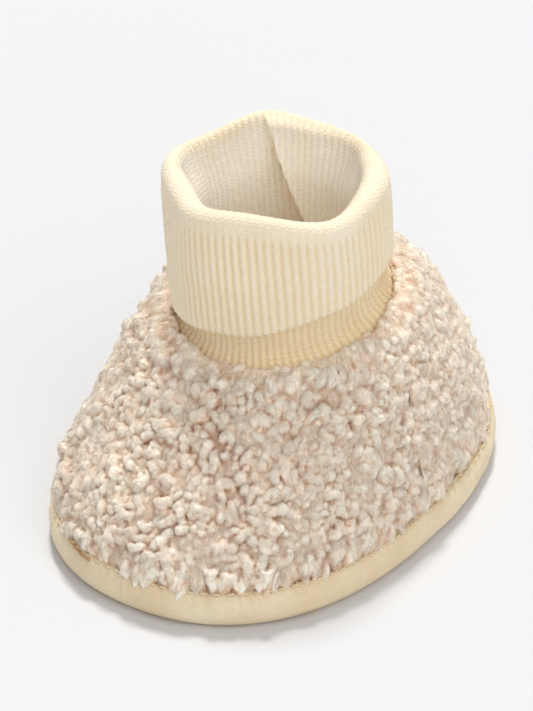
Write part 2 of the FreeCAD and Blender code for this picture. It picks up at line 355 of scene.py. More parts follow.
def blend_colours(first, second, share):
    return tuple(np.array(first) * (1 - share) + np.array(second) * share)


class Mat:
    """A node material with short methods for wiring it."""

    def __init__(self, name):
        self.material = bpy.data.materials.new(name)
        self.material.use_nodes = True
        self.tree = self.material.node_tree
        self.tree.nodes.clear()
        output = self.node("OutputMaterial")
        self.shader = self.node("BsdfPrincipled")
        self.tree.links.new(self.shader.outputs[0], output.inputs["Surface"])
        self.set(Specular_IOR_Level=0.25)

    def node(self, kind, **settings):
        node = self.tree.nodes.new("ShaderNode" + kind)
        for key, value in settings.items():
            setattr(node, key, value)
        return node

    def put(self, socket, value):
        """Link a socket or set a plain value."""
        if isinstance(value, bpy.types.NodeSocket):
            self.tree.links.new(value, socket)
        else:
            socket.default_value = value

    def set(self, **inputs):
        for key, value in inputs.items():
            self.put(self.shader.inputs[key.replace("_", " ")], value)

    def math(self, operation, first, second=0.0):
        node = self.node("Math", operation=operation)
        for socket, value in zip(node.inputs, (first, second, 0.0)):
            self.put(socket, value)
        return node.outputs[0]

    def attribute(self, name):
        return self.node("Attribute", attribute_name=name).outputs["Fac"]

    def uv(self):
        """The fabric UV as a vector, and its two numbers."""
        source = self.node("UVMap", uv_map="fabric").outputs[0]
        split = self.node("SeparateXYZ")
        self.put(split.inputs[0], source)
        return source, split.outputs[0], split.outputs[1]

    def place(self):
        return self.node("TexCoord").outputs["Object"]

    def noise(self, scale, detail=2.0, roughness=0.5, vector=None, distortion=0.0):
        node = self.node("TexNoise")
        node.inputs["Scale"].default_value = scale
        node.inputs["Detail"].default_value = detail
        node.inputs["Roughness"].default_value = roughness
        node.inputs["Distortion"].default_value = distortion
        self.put(node.inputs["Vector"], self.place() if vector is None else vector)
        return node.outputs["Fac"]

    def ramp(self, factor, stops):
        node = self.node("ValToRGB")
        elements = node.color_ramp.elements
        while len(elements) < len(stops):
            elements.new(0.5)
        for element, (position, colour) in zip(elements, stops):
            element.position = position
            element.color = colour
        self.put(node.inputs[0], factor)
        return node.outputs[0]

    def mix(self, factor, first, second, mode="MIX"):
        node = self.node("Mix", data_type="RGBA", blend_type=mode)
        self.put(node.inputs[0], factor)
        self.put(node.inputs[6], first)
        self.put(node.inputs[7], second)
        return node.outputs[2]

    def remap(self, value, span, to=(0.0, 1.0)):
        node = self.node("MapRange")
        for socket, number in zip(node.inputs, (value, *span, *to)):
            self.put(socket, number)
        return node.outputs[0]

    def tint(self, colour, mask, span, most, tint):
        """Multiply in a tint, by up to most, as the mask crosses the span."""
        return self.mix(self.remap(mask, span, to=(0.0, most)), colour, tint, "MULTIPLY")

    def bump(self, height, strength, distance, normal=None):
        node = self.node("Bump")
        node.inputs["Strength"].default_value = strength
        node.inputs["Distance"].default_value = distance
        self.put(node.inputs["Height"], height)
        if normal is not None:
            self.put(node.inputs["Normal"], normal)
        return node.outputs[0]


def fleece_material(name, fine_bump):
    mat = Mat(name)
    depth, chance, clump = (mat.attribute(key) for key in ("u", "rnd", "clump"))
    colour = mat.ramp(depth, [          # painted shade: darker, pinker roots and hollows between curls, paler tips
        (0.06, srgb(206, 160, 125)), (0.30, srgb(246, 221, 196)),
        (0.48, srgb(255, 242, 224)), (0.75, srgb(255, 248, 235))])
    colour = mat.tint(colour, mat.noise(scale=130.0), span=(0.40, 0.68), most=0.30,
                      tint=srgb(247, 232, 222))
    shade = mat.math("MULTIPLY", mat.remap(clump, span=(0.0, 1.0), to=(0.92, 1.03)),
                     mat.remap(chance, span=(0.0, 1.0), to=(0.95, 1.04)))
    grey = mat.node("CombineColor")
    for i in range(3):
        mat.put(grey.inputs[i], shade)
    colour = mat.mix(1.0, colour, grey.outputs[0], "MULTIPLY")
    mat.set(Base_Color=colour, Roughness=mat.remap(chance, span=(0, 1), to=(0.65, 0.9)))
    if fine_bump:
        grain = mat.noise(scale=2600.0, detail=3.0, roughness=0.65, distortion=0.6)
        mat.set(Normal=mat.bump(grain, strength=0.5, distance=0.00020))
    return mat.material


def backing_material():
    mat = Mat("fleece_backing")
    colour = mat.ramp(mat.noise(scale=420.0, detail=3.0, roughness=0.6),
                      [(0.3, srgb(214, 186, 162)), (0.7, srgb(238, 216, 194))])
    grain = mat.noise(scale=900.0, detail=3.0, roughness=0.7)
    mat.set(Base_Color=colour, Roughness=0.9,
            Normal=mat.bump(grain, strength=0.6, distance=0.0006))
    return mat.material


def rib_material(name, bounce_glow=0.0, pale=0.0):
    """Rib knit; its two colours can be pulled towards yellow, as a painted warm glow of bounced
    light, and towards white, as painted light inside the tube.
    """
    pale_low, pale_high = srgb(250, 242, 226), srgb(255, 252, 244)
    mat = Mat(name)
    _, rib_count, course = mat.uv()
    rib = mat.attribute("rib")
    # slanting stitches that mirror on the two sides of a rib
    slant = mat.math("PINGPONG", rib_count, 0.5)
    phase = mat.math("ADD", mat.math("MULTIPLY", course, 1.16), mat.math("MULTIPLY", slant, 1.5))
    stitch = mat.math("SINE", mat.math("MULTIPLY", phase, TAU))
    stitch_share = mat.remap(stitch, span=(-1, 1))
    fuzz = mat.noise(scale=1500.0, detail=4.0, roughness=0.65)
    mottle = mat.noise(scale=60.0, detail=3.0)
    # painted light: warm glow of light bounced under the flap and through the cloth
    low = blend_colours(srgb(238, 220, 184), srgb(240, 214, 164), bounce_glow)
    high = blend_colours(srgb(248, 236, 212), srgb(248, 230, 190), bounce_glow)
    # painted light: paler copy of the colours for the inside of the tube
    low, high = blend_colours(low, pale_low, pale), blend_colours(high, pale_high, pale)
    # painted shade: rib valleys darker and ridges lighter, following the rib height; the slanting
    # stitches are the knit's own pattern
    raised = mat.math("ADD", mat.math("MULTIPLY", rib, 0.8),
                      mat.math("MULTIPLY", stitch_share, 0.2))
    raised = mat.remap(raised, span=(0.05, 0.75))
    colour = mat.mix(raised, low, high)
    # painted light: the flap's turned-in edge takes the paler inside colours
    if not pale and not bounce_glow:
        colour = mat.mix(mat.attribute("pale"), colour, mat.mix(raised, pale_low, pale_high))
    colour = mat.tint(colour, mottle, span=(0.35, 0.7), most=0.35, tint=srgb(240, 226, 200))
    colour = mat.tint(colour, fuzz, span=(0.35, 0.7), most=0.22, tint=srgb(226, 206, 172))
    normal = mat.bump(stitch, strength=0.35, distance=0.00012)
    normal = mat.bump(fuzz, strength=0.35, distance=0.00018, normal=normal)
    mat.set(Base_Color=colour, Roughness=mat.remap(fuzz, span=(0.3, 0.7), to=(0.72, 0.92)),
            Normal=normal, Sheen_Weight=0.2, Sheen_Roughness=0.6)
    return mat.material


def cotton_material(name, pitch, mottle_most):
    """Plain weave; pitch is the yarn spacing in mm."""
    mat = Mat(name)
    vector, warp, weft = mat.uv()
    yarns = [mat.math("SINE", mat.math("MULTIPLY", way, math.pi / pitch)) for way in (warp, weft)]
    weave = mat.math("MULTIPLY", *yarns)
    weave_share = mat.remap(weave, span=(-1, 1))
    slub = mat.noise(scale=1.0, detail=3.0, roughness=0.6, vector=vector)
    mottle = mat.noise(scale=70.0, detail=4.0, roughness=0.55)
    fine = mat.noise(scale=1900.0, detail=3.0, roughness=0.6)
    raised = mat.math("ADD", mat.math("MULTIPLY", weave_share, 0.45),
                      mat.math("MULTIPLY", slub, 0.55))
    colour = mat.mix(mat.remap(raised, span=(0.2, 0.8)), srgb(228, 210, 176), srgb(240, 226, 198))
    colour = mat.tint(colour, mottle, span=(0.38, 0.66), most=mottle_most,
                      tint=srgb(228, 208, 176))
    normal = mat.bump(weave, strength=0.5, distance=0.00008)
    normal = mat.bump(fine, strength=0.3, distance=0.00015, normal=normal)
    normal = mat.bump(mottle, strength=0.25, distance=0.0012, normal=normal)
    mat.set(Base_Color=colour, Roughness=mat.remap(fine, span=(0.3, 0.7), to=(0.75, 0.95)),
            Normal=normal, Sheen_Weight=0.12)
    return mat.material


def jersey_material(name):
    mat = Mat(name)
    _, across, course = mat.uv()
    slant = mat.math("PINGPONG", mat.math("MULTIPLY", across, 1.25), 0.5)
    phase = mat.math("ADD", mat.math("MULTIPLY", course, 1.4), slant)
    stitch = mat.math("SINE", mat.math("MULTIPLY", phase, TAU))
    column = mat.math("MULTIPLY", mat.math("SUBTRACT", 0.5, slant), 2.0)
    height = mat.math("ADD", mat.math("MULTIPLY", stitch, 0.4), column)
    mottle = mat.noise(scale=80.0, detail=3.0)
    colour = mat.mix(mat.remap(height, span=(-0.4, 1.2)), srgb(234, 218, 188),
                     srgb(246, 236, 214))
    colour = mat.tint(colour, mottle, span=(0.35, 0.7), most=0.35, tint=srgb(236, 222, 200))
    mat.set(Base_Color=colour, Roughness=mat.remap(mottle, span=(0.3, 0.7), to=(0.82, 0.94)),
            Normal=mat.bump(height, strength=0.5, distance=0.00015))
    return mat.material


def thread_material(name, low, high):
    """Twisted thread; low and high are the colours in and on the twist."""
    mat = Mat(name)
    wave = mat.node("TexWave", wave_type="BANDS", bands_direction="DIAGONAL")
    wave.inputs["Scale"].default_value = 900.0
    wave.inputs["Distortion"].default_value = 2.0
    mat.put(wave.inputs["Vector"], mat.place())
    twist = wave.outputs["Fac"]
    mat.set(Base_Color=mat.mix(twist, low, high),
            Normal=mat.bump(twist, strength=0.5, distance=0.0001),
            Roughness=mat.remap(twist, span=(0, 1), to=(0.6, 0.75)))
    return mat.material


def wadding_material():
    mat = Mat("polyester_wadding")
    fluff = mat.noise(scale=500.0, detail=5.0, roughness=0.7)
    mat.set(Base_Color=mat.ramp(fluff, [(0.3, srgb(222, 220, 214)), (0.65, srgb(245, 244, 240))]),
            Normal=mat.bump(fluff, strength=0.8, distance=0.0008),
            Roughness=mat.remap(fluff, span=(0.3, 0.7), to=(0.85, 0.98)))
    return mat.material


MAT_PILE = fleece_material("fleece_fibre", fine_bump=False)
MAT_CURL = fleece_material("fleece_curl", fine_bump=True)
MAT_BACK = backing_material()
MAT_RIB = rib_material("rib_knit")
# painted light: paler copy of the knit for the inside of the tube
MAT_INSIDE = rib_material("rib_inside", pale=1.0)
# painted light: yellower copy of the knit for the neck under the flap, for bounced and transmitted
# light
MAT_NECK = rib_material("rib_knit_neck", bounce_glow=0.5)
MAT_COTTON = cotton_material("sole_cotton", pitch=0.42, mottle_most=0.35)
MAT_UNDER = cotton_material("underside_cotton", pitch=0.5, mottle_most=0.5)
MAT_JERSEY = jersey_material("lining_jersey")
MAT_THREAD = thread_material("sewing_thread", low=srgb(214, 192, 150), high=srgb(238, 222, 188))
MAT_WAD = wadding_material()
# painted shadow: dark brown thread for the bars beside the toe that stand for the shadowed gap
# under the fleece
MAT_GAP_SHADOW = thread_material("gap_shadow_thread", low=srgb(156, 120, 84), high=srgb(190, 150, 106))

# ---------------------------------------------------------------- sole
RING_ANGLES = TAU * np.arange(1200) / 1200
RING_X, RING_Y = outline_xy(RING_ANGLES, 0.0)
RING_STEPS = np.hypot(np.roll(RING_X, -1) - RING_X, np.roll(RING_Y, -1) - RING_Y)
RING_ARC = np.concatenate([[0], np.cumsum(RING_STEPS)[:-1]])
PERIMETER = RING_STEPS.sum()

SEAM_LEVEL = 8.35                       # height of the seam between band and fleece
BAND_ROWS = 44
# section of the edge band from under the sole up to the seam: (offset from outline, z)
BAND_PROFILE = np.array([
    (-3.4, 0.35), (-2.7, 0.22), (-2.05, 0.30), (-1.45, 0.55), (-0.9, 1.0), (-0.45, 1.6),
    (-0.12, 2.35), (0.08, 3.2), (0.16, 4.1), (0.14, 5.0), (0.02, 5.8), (-0.20, 6.6),
    (-0.50, 7.25), (-0.95, 7.85), (-1.5, 8.2), (-2.1, 8.3), (-2.6, 8.05), (-2.9, 7.4)])
# rounded rims: (offset from outline, z)
OUTSOLE_RIM = [(-2.9, 1.25), (-2.2, 1.2), (-1.75, 0.95), (-1.7, 0.6), (-1.9, 0.3), (-2.2, 0.1)]
INSOLE_RIM = [(-5.0, 6.25), (-4.3, 6.35), (-4.15, 6.7), (-4.3, 7.0)]
WADDING_RIM = [(-5.2, 1.75), (-4.2, 2.0), (-3.5, 2.7), (-3.2, 3.6), (-3.4, 4.6), (-4.0, 5.4),
               (-5.0, 5.8)]


def outline_normal(angle):
    """Outward normal of the outline, in plan."""
    step = 1e-3
    x_after, y_after = outline_xy(angle + step, 0.0)
    x_before, y_before = outline_xy(angle - step, 0.0)
    normal = np.stack([y_before - y_after, x_after - x_before], -1)
    place = np.stack(outline_xy(angle, 0.0), -1)
    return unit(normal * np.sign((normal * place).sum(-1, keepdims=True)))


def gather_list():
    """Gathers of the edge band: (place along the outline, width, depth, length, slant)."""
    rng = np.random.default_rng(11)
    found = []
    for i in range(64):
        toe = i < 34
        place = rng.normal(0, 46) if toe else rng.uniform(0, PERIMETER)
        found.append((place % PERIMETER, rng.uniform(0.5, 1.3),
                      rng.uniform(0.10, 0.34) * (1.15 if toe else 0.8),
                      rng.uniform(1.4, 4.2), rng.normal(0, 0.35)))
    # a small bunch of folds beside the toe
    for i in range(9):
        found.append(((26 + 2.3 * i + rng.normal(0, 0.4)) % PERIMETER, rng.uniform(0.45, 0.8),
                      rng.uniform(0.30, 0.5), rng.uniform(1.6, 3.4), rng.normal(0.35, 0.25)))
    return found


def gathers(arc, depth):
    """Small valleys with raised sides that start at the seam and fade downwards."""
    total = np.zeros(arc.shape)
    for place, width, amount, length, slant in gather_list():
        gap = (arc - place - slant * depth + PERIMETER / 2) % PERIMETER - PERIMETER / 2
        fade = np.exp(-(depth / length) ** 1.5)
        sides = sum(np.exp(-((gap + shift * width) / width) ** 2) for shift in (-1.5, 1.5))
        total += amount * fade * (0.45 * sides - np.exp(-(gap / width) ** 2))
    return total


def band():
    run = np.r_[0, np.cumsum(np.hypot(*np.diff(BAND_PROFILE, axis=0).T))]
    along = np.linspace(0, run[-1], BAND_ROWS)
    offset, z = (np.interp(along, run, column) for column in BAND_PROFILE.T)
    for values in (offset, z):
        for _ in range(2):
            values[1:-1] = (values[:-2] + 2 * values[1:-1] + values[2:]) / 4
    normal = outline_normal(RING_ANGLES)
    offset, z = offset[:, None], z[:, None]
    arc = RING_ARC + 0 * z
    depth = np.maximum(SEAM_LEVEL - z, 0) + 0 * arc
    shown = smooth(z, 0.8, 2.5)
    puff = 0.35 * plan_noise(RING_X, RING_Y, 14, 2, seed=5) * shown
    small = 0.12 * fbm(np.stack([arc / 5.0, depth / 3.0, 0 * arc + 3], -1), 3, seed=9) * shown
    out = offset + puff + small + gathers(arc, depth) * smooth(z, 1.2, 3.5)
    height = z + 0.25 * plan_noise(RING_X, RING_Y, 18, 2, seed=3, level=7) * smooth(z, 3, 8)
    points = np.stack([RING_X + normal[:, 0] * out, RING_Y + normal[:, 1] * out, height], -1)
    uv = np.stack([arc, along[:, None] + 0 * arc], -1)
    ob = grid_object("sole_edge_band_cloth", points, uv)
    finish(ob, MAT_COTTON, "sole_edge_band")


def disc(count, rim, offset, shares, height, wobble=0.0):
    """Rim rows, then the outline at the offset shrunk by each share, at height(x, y, share)."""
    angles = TAU * np.arange(count) / count
    rows = []
    for rim_offset, z in rim:
        x, y = outline_xy(angles, rim_offset)
        bump = wobble * plan_noise(x, y, 3, 3, seed=41, level=z)
        rows.append(np.stack([x + bump * np.sign(x), y + bump * np.sign(y), z + 0.12 * bump], -1))
    outline_x, outline_y = outline_xy(angles, offset)
    for share in shares:
        x, y = outline_x * share, outline_y * share
        rows.append(np.stack([x, y, height(x, y, share)], -1))
    return np.array(rows)


def outsole():
    def height(x, y, share):
        wrinkle = 0.10 * (0.5 + 0.5 * plan_noise(x, y, 9, 3, seed=21))
        return 0.02 + wrinkle * (1 - smooth(share, 0.93, 1.0)) * 0.9
    points = disc(360, OUTSOLE_RIM, -2.5, np.linspace(1.0, 0.02, 70), height)
    ob = grid_object("outsole_cloth", points, points[..., :2], flip=True, caps=(-1,))
    finish(ob, MAT_UNDER, "outsole")


def insole():
    def height(x, y, share):
        dome = 0.25 * (1 - share ** 4)
        wrinkle = 0.18 * plan_noise(x, y, 8, 3, seed=31)
        return INSOLE_TOP - 0.15 + dome * 0.5 + wrinkle * (1 - smooth(share, 0.9, 1.0))
    points = disc(360, INSOLE_RIM, -4.6, np.linspace(1.0, 0.02, 60), height)
    ob = grid_object("insole_cloth", points, points[..., :2], caps=(-1,))
    finish(ob, MAT_JERSEY, "insole")


def wadding():
    def height(x, y, share):
        return 5.72 + 0.16 * plan_noise(x, y, 3, 3, seed=44)
    points = disc(300, WADDING_RIM, -5.2, np.linspace(0.97, 0.02, 44), height, wobble=0.25)
    ob = grid_object("wadding_pad", points, points[..., :2], caps=(0, -1))
    finish(ob, MAT_WAD, "sole_wadding")


def lining(name, front, node):
    """Half of the lining, from the insole to just under the cuff."""
    cols, rises = 260, np.linspace(0.0, 1.0, 70)
    rows = []
    for rise in rises:
        # each half stops 0.1 mm short of the seam
        seam = seam_angle(rise, 6.9, 4.1, seam_y=SEAM_Y + (-0.1 if front else 0.1))
        row = upper_point(half_angles(front, seam, cols), rise * 0.93, 6.8, 4.0)
        if rise == 0.0:
            row[:, 2] = 7.75
        wrinkle = 0.35 * fbm(row / 7.0, 3, seed=51) * smooth(rise, 0.02, 0.2)
        outward = unit(row - np.array([0, 0, 12.0]))
        rows.append(row - outward * np.abs(wrinkle)[:, None])
    uv = np.stack(np.meshgrid(np.linspace(0, 120, cols), np.linspace(0, 48, len(rises))), -1)
    ob = grid_object(name, np.array(rows), uv, close=False)
    thicken(ob, 0.0007, offset=0.0)
    finish(ob, MAT_JERSEY, node)


band()
outsole()
insole()
wadding()
lining("lining_vamp_cloth", True, "lining_vamp")
lining("lining_quarter_cloth", False, "lining_quarter")

# ---------------------------------------------------------------- fleece
ROOT_IN, ROOT_IN_TOP = 4.6, 3.0         # inset of the backing at the sole and the collar
PILE_IN, PILE_IN_TOP = 2.3, 1.5         # the same for the under-surface of the pile
LIP_RISE, TOP_RISE = 0.085, 0.925       # where the lower and upper lips end
EDGE_ROW = 18                           # last row of the lower lip
PILE_COLS = 760
SEAM_LAP = 0.045                        # angle by which the halves lap at the side seams
CURL_GAP = 1.28                         # least distance between curls
CURL_R = 0.80
CLUMP_GAP = 3.1                         # least distance between clumps of curls
BALL_PLACES = (-0.5, -0.25, 0.0, 0.25, 0.5)
GAP_SHADOW_X, GAP_SHADOW_Y = -12.4, -50.4           # painted shadow: place of the dark bars beside the toe, for the gap where the fleece lifts off the band
FIBRE_U = np.array([0.0, 0.28, 0.55, 0.80, 1.0])
FIBRE_RINGS = len(FIBRE_U) - 1
FIBRE_R = 0.050
N_FIBRES, PILE_AREA = 104000, 9200      # fibres over a whole pile of this area, mm2
FIBRES_PER_PIECE = 9400
N_LOOSE = 3600                          # loose hairs on each half
LOWEST_FIBRE = 2.6
DOWN = np.array([0, 0, -1.0])
UPPER_CORE = np.array([0, 2.0, 10.0])   # point inside the upper


def upper_frame(angle, rise, inset, inset_top):
    """Points of the upper and their outward normals."""
    step = 2e-3

    def point(turn, lift):
        return upper_point(angle + turn, rise + lift, inset, inset_top)
    points = point(0, 0)
    normals = unit(np.cross(unit(point(step, 0) - point(-step, 0)),
                            unit(point(0, step) - point(0, -step))))
    return points, normals * np.sign((normals * (points - UPPER_CORE)).sum(-1, keepdims=True))


def backing(name, front, node):
    rows = []
    for rise in np.linspace(0.0, 1.0, 90):
        angles = half_angles(front, seam_angle(rise, ROOT_IN, ROOT_IN_TOP), 300)
        row, normals = upper_frame(angles, rise, ROOT_IN, ROOT_IN_TOP)
        # the lower edge turns out to meet the edge band
        out = 1.3 * (1 - smooth(rise, 0.0, 0.16))
        bumps = 0.35 * fbm(row / 3.5, 2, seed=61) * smooth(rise, 0.0, 0.10)
        rows.append(row + normals * (out + bumps)[:, None])
    points = np.array(rows)
    ob = grid_object(name, points, points[..., :2], close=False)
    thicken(ob, 0.0010, offset=-1.0)
    finish(ob, MAT_BACK, node)


def flow_at(points, normals):
    """Way the pile leans: the slope of a smooth noise, so it parts and gathers along lines."""
    scale, step = 1 / 7.5, 0.25
    slope = np.zeros_like(points)
    for i, shift in enumerate(np.eye(3) * step):
        ahead = fbm((points + shift) * scale, 2, seed=71, gain=0.6)
        behind = fbm((points - shift) * scale, 2, seed=71, gain=0.6)
        slope[:, i] = (ahead - behind) / (2 * step * scale)
    return tangential(slope, normals)


def pile_rows():
    """Rise, inset and inset at the collar of each row, with rounded lower and upper lips."""
    lower = np.radians(np.linspace(0, 90, EDGE_ROW + 1))
    upper = np.radians(np.linspace(90, -45, 20))
    middle = np.linspace(LIP_RISE, TOP_RISE, 208)[1:-1]
    rise = np.concatenate([LIP_RISE * (1 - np.cos(lower)), middle,
                           TOP_RISE + 0.05 * np.cos(upper)])
    inset, inset_top = np.full(len(rise), PILE_IN), np.full(len(rise), PILE_IN_TOP)
    inset[:len(lower)] += 3.6 * (1 - np.sin(lower))
    inset_top[-len(upper):] += 2.1 * (1 - np.sin(upper))
    return rise, inset, inset_top


def pile_grid(front):
    """Row rises, points, outward normals and the two tangents of one half's under-surface."""
    rises, insets, insets_top = pile_rows()
    rows = []
    for rise, inset, inset_top in zip(rises, insets, insets_top):
        angles = half_angles(front, seam_angle(rise, inset, inset_top), PILE_COLS, SEAM_LAP)
        rows.append(upper_point(angles, np.full(PILE_COLS, rise), inset, inset_top))
    points = np.array(rows)
    by_col, by_row = np.gradient(points, axis=1), np.gradient(points, axis=0)
    normals = unit(np.cross(by_col, by_row))
    middle = (100, PILE_COLS // 2)
    if (normals[middle] * (points[middle] - UPPER_CORE)).sum() < 0:
        normals = -normals
    return rises, points, normals, by_col, by_row


def spread(points, gap):
    """Indices of points at least the gap from one another, first come first kept."""
    cells, chosen = {}, []
    keys = np.floor(points / gap).astype(int).tolist()
    for i, (x, y, z) in enumerate(points.tolist()):
        cell = keys[i]
        near = [spot for shift in itertools.product((-1, 0, 1), repeat=3)
                for spot in cells.get(tuple(a + b for a, b in zip(cell, shift)), ())]
        if all((x - near_x) ** 2 + (y - near_y) ** 2 + (z - near_z) ** 2 >= gap * gap
               for near_x, near_y, near_z in near):
            cells.setdefault(tuple(cell), []).append((x, y, z))
            chosen.append(i)
    return chosen


def curl_balls(points, normals, rises, weights, rng):
    """Every curl is a short arc of overlapping balls: centres, radii and directions.

    The arrays list the first ball of all curls, then the second of all, and so on.
    """
    picked = rng.choice(len(points), 36000, p=weights)
    spots = points[picked]
    clumps = spots[spread(spots[:9000], CLUMP_GAP)]
    picked = picked[spread(spots, CURL_GAP)]
    centre, normal, rise = points[picked], normals[picked], rises[picked]
    count = len(picked)
    low, top = 1 - smooth(rise, 0.0, 0.09), smooth(rise, 0.93, 1.0)
    flow = flow_at(centre, normal)
    flow = flow / np.maximum(np.linalg.norm(flow, axis=1, keepdims=True), 0.5)
    stray = unit(tangential(rng.standard_normal((count, 3)), normal))
    # curls point away from the middle of their clump, which is domed
    squares = ((centre[:, None, :] - clumps[None, :, :]) ** 2).sum(-1)
    nearest = squares.argmin(1)
    distance = np.sqrt(squares[np.arange(count), nearest])
    dome = 0.90 * (1 - np.minimum(distance / 1.9, 1.25) ** 2)
    away = tangential(centre - clumps[nearest], normal) / np.maximum(distance, 0.4)[:, None]
    head = unit(flow * 0.5 + stray + 0.7 * away
                + tangential(DOWN, normal) * (0.2 + 2.2 * low)[:, None])
    side = np.cross(normal, head)
    size = np.clip(1 + 0.20 * rng.standard_normal(count), 0.62, 1.5)
    lump = fbm(centre / 4.2, 2, seed=81, gain=0.6)
    turn = rng.uniform(-3.0, 3.0, count) * (1 - 0.7 * low)
    length = rng.uniform(0.5, 2.9, count) * (1 + 0.45 * low)
    lift = rng.uniform(-0.10, 0.36, count) + 0.8 * lump + dome
    lift = lift * (1 - 0.6 * top) - 0.45 * top

    def heading(angle):
        return np.cos(angle)[:, None] * head + np.sin(angle)[:, None] * side
    balls, radii, ways = [], [], []
    for place in BALL_PLACES:
        angle = turn * place
        spot = centre + heading(0.5 * angle) * (length * place)[:, None]
        height = (lift + 0.30 * math.cos(math.pi * place * 0.9) - 0.12
                  + rng.normal(0, 0.08, count))
        balls.append(spot + normal * height[:, None])
        radii.append(CURL_R * size * (0.84 + 0.16 * math.cos(math.pi * place))
                     * rng.uniform(0.9, 1.08, count))
        ways.append(heading(angle))
    return np.concatenate(balls), np.concatenate(radii), np.concatenate(ways)


def ball_cover(points, normals, balls, radii, ways, rng):
    """Height of the balls along each point's normal, and the topmost ball's way and tone."""
    tree = KDTree(len(points))
    for i, point in enumerate(points.tolist()):
        tree.insert(point, i)
    tree.balance()
    tops = np.full(len(points), 0.55)
    combed = np.tile(DOWN, (len(points), 1))
    tone = np.zeros(len(points))
    curl_tone = rng.uniform(0, 1, len(balls) // len(BALL_PLACES))
    for i, (ball, radius) in enumerate(zip(balls, radii)):
        hits = tree.find_range(ball, radius + 1.7)
        near = np.fromiter((hit[1] for hit in hits), int, len(hits))
        offset = ball - points[near]
        along = (offset * normals[near]).sum(-1)
        across = (offset * offset).sum(-1) - along * along
        height = along + np.sqrt(np.maximum(radius * radius - across, 0))
        above = (across < radius * radius) & (height > tops[near])
        covered = near[above]
        tops[covered] = height[above]
        combed[covered] = ways[i]
        tone[covered] = curl_tone[i % len(curl_tone)]
    return tops, combed, tone


def neighbours(field):
    """Sum of the four neighbours of each grid value."""
    return (np.roll(field, 1, 0) + np.roll(field, -1, 0)
            + np.roll(field, 1, 1) + np.roll(field, -1, 1))


def blurred(field, passes):
    for _ in range(passes):
        field = 0.5 * field + 0.125 * neighbours(field)
    return field


def pile_relief(tops, points, normals):
    """Final height of the pile, and its colour share from root to tip, which paints shade: low in
    the hollows between curls, high on their tops.
    """
    edge_height = -0.3
    bridged = tops                      # fibres bridge the sharp creases
    for _ in range(2):
        bridged = np.maximum(bridged, neighbours(bridged) / 4 - 0.02)
    height = blurred(0.35 * tops + 0.65 * bridged, 3)
    height[0], height[-1] = edge_height, edge_height
    height = (height + 0.05 * fbm(points / 0.8, 2, seed=93, gain=0.6)
              + 0.55 * fbm(points / 6.5, 2, seed=95))
    # the relief is deep where the pile stands up and flatter elsewhere
    mean = blurred(height, 90)
    stand = smooth((normals * unit(np.array([0.52, -0.73, 0.45]))).sum(-1), 0.15, 0.85)
    relief = np.clip(0.74 + 0.36 * stand + 0.45 * fbm(points / 11.0, 2, seed=96), 0.5, 1.3)
    height = mean + (height - mean) * relief
    height[0], height[-1] = edge_height, edge_height
    return height, np.clip(0.57 + 0.64 * (height - mean), 0, 1)


def edge_tufts(points, rng):
    """Shift of each point: pointed tufts that hang out over the lower edge."""
    edge = points[EDGE_ROW]
    run = np.concatenate([[0], np.cumsum(np.linalg.norm(np.diff(edge, axis=0), axis=1))])
    toe_share = smooth(-edge[:, 1], -20.0, 38.0)
    # keep the tufts off the painted shadow bars beside the toe
    gap_shadow_share = smooth(np.hypot(edge[:, 0] - GAP_SHADOW_X, edge[:, 1] - GAP_SHADOW_Y), 2.5, 6.0)
    tuft, at = np.zeros(points.shape[:2]), 0.0
    row = np.arange(len(points))[:, None]
    while at < run[-1]:
        width = rng.uniform(1.0, 1.9)
        amount = rng.uniform(0.15, 1.0) * (0.35 + 0.65 * float(np.interp(at, run, toe_share)))
        amount *= float(np.interp(at, run, gap_shadow_share))
        lean = rng.normal(0, 0.06)
        along = (run[None, :] - at - lean * (EDGE_ROW - row)) / width
        body = np.exp(-((row - 10.0) / rng.uniform(4.5, 8.5)) ** 2)
        tuft = np.maximum(tuft, amount * body * np.clip(1 - np.abs(along), 0, 1) ** 0.8)
        at += width * rng.uniform(0.75, 1.25)
    x, y = points[..., 0], points[..., 1]
    outward = unit(np.stack([x, y - 2.0, 0 * x], -1))
    return tuft[..., None] * (outward * 1.45 + np.array([0, 0, -2.3]))


def sample(field, row, col):
    """Value of a grid at fractional rows and columns."""
    rows, cols = field.shape[:2]
    row0 = np.clip(np.floor(row).astype(int), 0, rows - 2)
    col0 = np.clip(np.floor(col).astype(int), 0, cols - 2)
    down, right = np.clip(row - row0, 0, 1), np.clip(col - col0, 0, 1)
    if field.ndim == 3:
        down, right = down[:, None], right[:, None]
    return (field[row0, col0] * (1 - down) * (1 - right)
            + field[row0 + 1, col0] * down * (1 - right)
            + field[row0, col0 + 1] * (1 - down) * right
            + field[row0 + 1, col0 + 1] * down * right)


